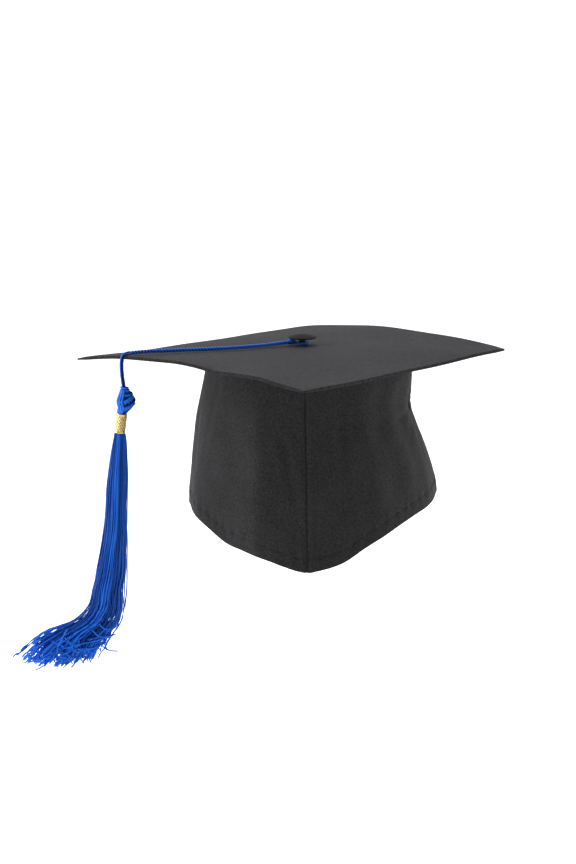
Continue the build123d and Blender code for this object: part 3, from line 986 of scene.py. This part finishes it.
def band_sleeve():
    """The metal sleeve, pressed with a diamond pattern between two plain rolled edges."""
    top, bottom, along, across, deep = band_axis()
    length = np.linalg.norm(bottom - top)
    rows, columns = 90, 180
    share = np.linspace(0, 1, rows)
    angle = np.arange(columns) * tau / columns
    u, v = np.meshgrid(share, angle, indexing="ij")
    outside, inside = 4.25 * mm, 3.72 * mm
    pitch_turns, pitch_rows = 12, 6.0
    slope = v * pitch_turns
    rise = u * pi * pitch_rows
    diamonds = np.abs(np.sin(slope / 2 + rise)) * np.abs(np.sin(slope / 2 - rise))
    middle = eased(0.1, 0.15, u) * (1 - eased(0.85, 0.9, u))
    notched = hump(angle_between(v, radians(118)), 0, 0.16)
    notches = np.maximum(np.sin(u * tau * 9 + 3 * v), 0)
    relief = middle * ((0.42 * diamonds - 0.2) * (1 - notched) - 0.4 * notches * notched)
    rolled = 0.2 * (hump(u, 0.035, 0.03) + hump(u, 0.965, 0.03))
    rolled += 0.12 * (hump(u, 0.1, 0.015) + hump(u, 0.9, 0.015))
    radius = outside + (relief + rolled) * mm
    radius -= 0.2 * mm * hump(angle_between(v, radians(250)), 0, 0.03)
    spoke = swung(across, deep, v)
    outer = top + along * (u * length)[..., None] + spoke * radius[..., None]
    inner = top + along * (u * length)[..., None] + spoke * inside
    ring = np.concatenate([outer, inner[::-1]])
    # the weave's third part, four times the relief, paints shade into the hollows and notches and light onto
    # the raised diamonds
    weave = np.concatenate([np.stack([v * outside, u * length, 4 * relief], -1)] * 2)
    sleeve = Shape()
    sleeve.add(ring, grid_faces(2 * rows, columns, wrap_rows=True, wrap_columns=True), weave)
    piece = sleeve.piece("band_sleeve", gold, "tassel_head", ["tassel_band"])
    # thread wound round the bundle inside the sleeve
    binding = Shape()
    turns = 22
    angle = np.linspace(0, tau * turns, turns * 20)
    run = length - 0.8 * mm
    wrap = top + along * (0.4 * mm + angle / (tau * turns) * run)[:, None]
    wrap = wrap + 3.2 * mm * swung(across, deep, angle)
    binding.tube(wrap, 0.38 * mm, 7, tint=0.2)
    core = top + along * (np.linspace(0.3, 0.97, 30) * length)[:, None]
    binding.tube(core, 3.0 * mm, 24, tint=0.1)
    binding.piece("band_binding", blue_thread, "tassel_head", ["tassel_binding"])
    return piece


# The fringe's outer and inner outlines in the tassel's plane, outward and height in mm, with its
# half depth: straight down from the band, then swept outward to its cut ends.
fringe_lines = [
    ((5.4, 63.5), (-1.4, 63.5), 2.9), ((6.4, 58.5), (-2.7, 58.5), 3.8), ((8.2, 49.0), (-3.4, 49.0), 4.6),
    ((10.4, 36.0), (-3.7, 36.0), 5.2), ((12.6, 20.0), (-3.6, 20.0), 5.8), ((13.8, 4.0), (-3.1, 4.0), 6.0),
    ((16.0, -14.0), (-2.6, -14.0), 6.4), ((19.0, -31.0), (-1.8, -31.0), 6.8),
    ((22.6, -47.0), (-1.0, -49.0), 7.0), ((26.0, -61.0), (1.8, -65.0), 7.2),
    ((29.4, -73.0), (2.6, -80.0), 7.4), ((38.8, -83.6), (5.0, -90.0), 7.6),
    ((60.5, -91.8), (11.0, -99.0), 7.8), ((76.0, -100.5), (16.5, -108.0), 7.8),
    ((90.5, -112.0), (21.0, -119.0), 7.6),
]
lowest_end = -121.3  # the lowest that a thread may lie, in mm
lock_count = 28
golden_angle = 2.39996  # spreads the locks evenly over the bundle
# Single threads that stand away from the fringe: outward, height and towards the front, in mm.
stray_threads = [
    ([(-0.2, 0, 5), (-1.2, -20, 5), (-1.0, -40, 4), (-0.6, -56, 4), (0.0, -66, 4), (1.6, -78, 4)], 0.5),
    ([(22, -96, 6), (20, -104, 7), (16.5, -110.5, 7), (8.7, -112.4, 7)], 0.65),
    ([(24, -88, 8), (20, -92, 9), (14, -93, 9), (7, -89, 9)], 0.8),
    ([(30, -92, 8), (24, -98, 9), (17, -99, 9), (10, -97.5, 9)], 0.7),
    ([(49, -90, 8), (53, -96, 9), (57, -103, 9), (58, -109, 9)], 0.8),
    ([(56, -104, 8), (62.4, -112.4, 9), (69, -117.5, 9), (75.4, -120.5, 8)], 0.7),
    ([(12, -98, 8), (25, -101, 9), (40, -103, 9), (53, -105, 9)], 0.65),
    ([(18, -104, 8), (29, -107, 9), (44, -107, 9), (60, -112, 9)], 0.6),
    ([(65, -103, 8), (70, -108, 9), (68, -112, 9), (73, -117, 9)], 0.9),
]


def fringe_thread(side_share, depth_share, end):
    """One thread's line, by its share across the fringe from the inner to the outer side."""
    outer, inner, deep = (np.array(column) for column in zip(*fringe_lines))
    flat = inner + (outer - inner) * side_share
    flat[:, 1] -= 6.5 * sin(pi * side_share) * eased(10, 14, np.arange(len(flat)))
    stations = distances(flat)
    length = stations[-1] * end
    bend_start = length - 68
    reached = np.concatenate([np.arange(0, bend_start, 4.6), np.arange(bend_start, length, 1.35)])
    out = smooth_through(stations, flat[:, 0], reached)
    height = smooth_through(stations, flat[:, 1], reached)
    front = smooth_through(stations, deep, reached) * depth_share
    return out, height, front, reached


def wander(reached, amount, seeds):
    """A slow sideways drift that grows along the thread."""
    a, b, c = seeds
    growth = amount * (0.12 + 0.3 * eased(60, 130, reached) + 0.85 * eased(130, 205, reached))
    slow, quick = np.sin(reached / 21 + a), 0.6 * np.sin(reached / 11 + b)
    return growth * (slow + quick + 0.25 * np.sin(reached / 5.2 + c))


def lock_of_threads(threads, lock):
    """One loose lock of the fringe, each of its threads with its own drift and its own end."""
    per_lock = 7
    radius = sqrt((lock + 0.5) / lock_count) * 0.97
    turn = lock * golden_angle + 0.3
    lock_out, lock_deep = radius * cos(turn), radius * sin(turn)
    lock_seeds = [dice.uniform(0, tau) for _ in range(6)]
    lock_tint = dice.uniform(0.05, 0.6)
    for k in range(per_lock):
        spread_turn = k * tau / (per_lock - 1) + dice.uniform(-0.3, 0.3)
        spread_far = 0.0 if k == 0 else dice.uniform(0.12, 0.2)
        own = [dice.uniform(0, tau) for _ in range(6)]
        a = lock_out + spread_far * cos(spread_turn)
        b = lock_deep + spread_far * sin(spread_turn)
        size = max(1.0, sqrt(a * a + b * b))
        a, b = a / size, b / size
        end = 1.0 - 0.10 * dice.random() ** 2
        out, height, front, reached = fringe_thread((1 + a) / 2, b, end)
        out = out + wander(reached, 1.5, lock_seeds[:3]) + wander(reached, 0.9, own[:3])
        front = front + wander(reached, 0.9, lock_seeds[3:]) + wander(reached, 0.8, own[3:])
        height = height + 0.7 * wander(reached, 1.0, own[3:]) * eased(120, 170, reached)
        left = reached[-1] - reached
        if dice.random() < 0.6:
            curl = (1 - eased(0, 20, left)) * dice.uniform(0.4, 1.7)
            phase = left / dice.uniform(1.3, 2.4)
            out = out + curl * np.cos(phase)
            height = height + curl * np.sin(phase)
        front = np.clip(front, -8, 8)
        line = tassel_place(out, np.maximum(height, lowest_end), front)
        # random tone per lock and thread, plus a painted highlight: the last 35 mm of each thread painted
        # lighter
        tint = lock_tint + dice.uniform(-0.15, 0.25) + 0.5 * (1 - eased(0, 35, left))
        thick = (0.38 + 0.10 * eased(0, 60, reached) + 0.34 * (1 - eased(0, 45, left))) * mm
        turned = reached / 15 + 14 * (1 - eased(0, 60, left)) + own[0]
        threads.tube(line, thick, 6, tint=tint, flatten=0.62, turn=turned)


def curled_ends(threads):
    """Short curled ends that lie over the foot, painted lighter towards their tips as a painted highlight."""
    for _ in range(34):
        share, low = dice.uniform(0.1, 0.95), dice.uniform(-108, -92)
        out = 14 + 68 * share - 0.9 * max(0.0, low + 100)
        t = np.linspace(0, 1, 13)
        heading = dice.uniform(-2.9, -0.4)
        reach, bow = dice.uniform(9, 17), dice.uniform(-3.5, 3.5)
        outward_part = out + reach * t * cos(heading) + bow * np.sin(pi * t) + 0.5 * np.sin(9 * t + low)
        height = low - 4 * share + reach * t * sin(heading) * 0.75 + 0.5 * bow * np.sin(pi * t)
        line = tassel_place(outward_part, np.maximum(height, lowest_end), 6.2 + 2.6 * np.sqrt(t))
        # painted highlight: the tone rises towards each tip
        threads.tube(line, (0.45 + 0.3 * t) * mm, 6, tint=0.45 + 0.75 * t, flatten=0.75, turn=9 * t)


def loose_threads(threads):
    for points, tint in stray_threads:
        line = np.array([tassel_place(*point) for point in points])
        stations, fine = np.arange(len(line)), np.linspace(0, len(line) - 1, 10 * len(line))
        line = np.stack([smooth_through(stations, line[:, k], fine) for k in range(3)], -1)
        threads.tube(line, 0.55 * mm, 6, tint=tint)


def fringe():
    """Some two hundred threads in loose locks, with curled ends and loose threads over them."""
    threads = Shape()
    for lock in range(lock_count):
        lock_of_threads(threads, lock)
    curled_ends(threads)
    loose_threads(threads)
    nodes = ["fringe_upper", "fringe_lower"]
    piece = threads.piece("fringe_threads", blue_thread, None, nodes)
    start, end = tuple(tassel_place(12.5, -46)), tuple(tassel_place(16.5, -80))
    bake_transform(piece)


# ---- light, floor and camera ----
def backdrop():
    """A plain white floor, and soft light from above and from both sides."""
    scene = bpy.context.scene
    material, shader = new_material("floor_white", Roughness=0.9, Specular_IOR_Level=0.1)
    shader.inputs["Base Color"].default_value = (0.93, 0.93, 0.93, 1)
    shader.inputs["Emission Color"].default_value = (1, 1, 1, 1)
    shader.inputs["Emission Strength"].default_value = 0.29
    mesh = bpy.data.meshes.new("floor")
    corners = [(-12, -12, 0), (12, -12, 0), (12, 12, 0), (-12, 12, 0)]
    mesh.from_pydata(corners, [], [(0, 1, 2, 3)])
    mesh.materials.append(material)
    floor = bpy.data.objects.new("floor", mesh)
    floor.location.z = -0.165
    scene.collection.objects.link(floor)
    world = bpy.data.worlds.new("studio")
    world.use_nodes = True
    sky = world.node_tree.nodes["Background"]
    sky.inputs["Color"].default_value = (1, 1, 1, 1)
    direction = node(world, "ShaderNodeTexCoord").outputs["Generated"]
    toward_back = node(world, "ShaderNodeSeparateXYZ", Vector=direction).outputs["Y"]
    soft = node(
        world, "ShaderNodeMapRange", Value=toward_back, From_Min=-0.9, From_Max=0.6, To_Min=0.2, To_Max=1.15
    )
    soft.interpolation_type = "SMOOTHSTEP"
    link(world, soft.outputs[0], sky.inputs["Strength"])
    scene.world = world
    lamps = (
        ("top_light", (0.1, 0.6, 1.7), (1.6, 1.6), 29, (1, 1, 1)),
        ("left_light", (-1.6, -0.05, 0.4), (0.8, 1.4), 33, (0.93, 0.94, 1)),
        ("right_light", (1.6, 0.1, 0.4), (0.8, 1.4), 15, (1, 0.97, 0.92)),
    )
    for name, place, size, power, colour in lamps:
        light = bpy.data.lights.new(name, "AREA")
        light.shape = "RECTANGLE"
        light.size, light.size_y = size
        light.energy = power
        light.color = colour
        lamp = bpy.data.objects.new(name, light)
        lamp.location = place
        lamp.rotation_euler = (Vector((0, 0, 0.03)) - Vector(place)).to_track_quat("-Z", "Y").to_euler()
        scene.collection.objects.link(lamp)
    scene.view_settings.view_transform = "Standard"


def camera():
    """A long lens a little above the board, looking down at it by about eleven degrees."""
    tilt, turn, roll = 0.2, 0.0487, 0.0051
    distance = 1.590
    aside, above = 0.01149, 0.06898
    right = Vector((cos(turn), -sin(turn), 0))
    level = Vector((sin(turn), cos(turn), 0))
    up = level * sin(tilt) + Vector((0, 0, cos(tilt)))
    ahead = level * cos(tilt) - Vector((0, 0, sin(tilt)))
    rolled_right = right * cos(roll) - up * sin(roll)
    rolled_up = right * sin(roll) + up * cos(roll)
    place = Vector((0, 0, board_top)) - rolled_right * aside - rolled_up * above - ahead * distance
    data = bpy.data.cameras.new("camera")
    data.lens = 83.6
    data.sensor_width = 36
    eye = bpy.data.objects.new("camera", data)
    axes = Matrix((rolled_right, rolled_up, -ahead)).transposed()
    eye.matrix_world = Matrix.Translation(place) @ axes.to_4x4()
    bpy.context.scene.collection.objects.link(eye)
    bpy.context.scene.camera = eye


# ---- the whole cap ----
camera()
backdrop()
cord, cord_line = tassel_cord()
eye_piece, whipping_piece = tassel_eye()
knot_piece = tassel_knot()
band_piece = band_sleeve()
fringe()
board_pieces()
crown_pieces()
small_cloths()
sewing()
button_cover()
carried_parts()
